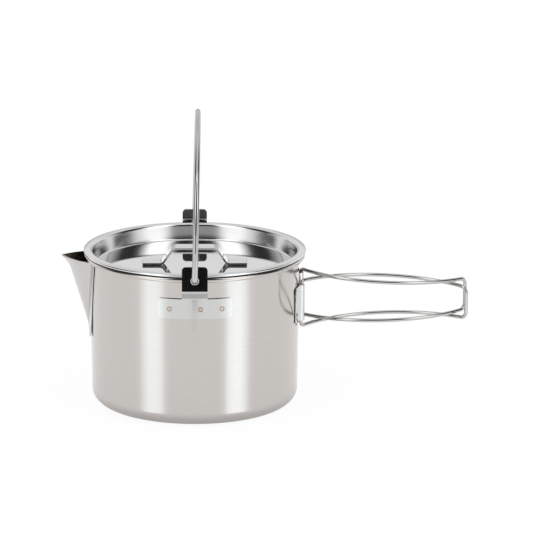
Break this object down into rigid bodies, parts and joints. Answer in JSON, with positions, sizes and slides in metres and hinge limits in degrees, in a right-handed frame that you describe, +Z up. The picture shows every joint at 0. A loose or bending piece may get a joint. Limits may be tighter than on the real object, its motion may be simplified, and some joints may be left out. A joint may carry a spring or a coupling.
{
  "type": "camping kettle",
  "caption": "Lidded steel pot with a folded pouring spout, a swinging wire bail and a folding wire side handle, for boiling water over a camp stove or fire.",
  "frame": {"origin": "centre of the pot's flat base, on its underside", "axes": "+Z up, +X towards the folding wire handle, -X towards the spout, -Y towards the front ear of the bail"},
  "size_m": [0.2528, 0.1554, 0.1838],
  "materials": {
    "pot_steel": "bright, finely brushed",
    "spout_steel": "bright, finely brushed",
    "ear_steel": "polished",
    "bail_steel": "polished",
    "bracket_steel": "polished",
    "loop_steel": "polished",
    "lid_steel": "mirror polished",
    "lid_handle_steel": "polished"
  },
  "bodies": {
    "pot": {"pot_body": "pot_steel", "spout": "spout_steel", "bail_ear_front": "ear_steel", "bail_ear_rear": "ear_steel", "handle_bracket": "bracket_steel"},
    "bail": {"bail": "bail_steel"},
    "front_loop": {"handle_loop_front": "loop_steel"},
    "rear_loop": {"handle_loop_rear": "loop_steel"},
    "lid": {"lid": "lid_steel", "lid_handle": "lid_handle_steel"}
  },
  "joints": [
    {"name": "bail_swing", "type": "hinge", "parent": "pot", "child": "bail", "pos_m": [0, 0, 0.095], "axis": [0, 1, 0], "range_deg": [-129, 94.8]},
    {"name": "front_loop_fold", "type": "hinge", "parent": "pot", "child": "front_loop", "pos_m": [0.06593, -0.00905, 0.0639], "axis": [0, 0, 1], "range_deg": [-148, 2]},
    {"name": "rear_loop_fold", "type": "hinge", "parent": "pot", "child": "rear_loop", "pos_m": [0.06593, 0.00905, 0.0672], "axis": [0, 0, 1], "range_deg": [-2, 148]},
    {"name": "lid_lift", "type": "slide", "parent": "pot", "child": "lid", "axis": [0, 0, 1], "range_m": [0, 0.03]}
  ]
}
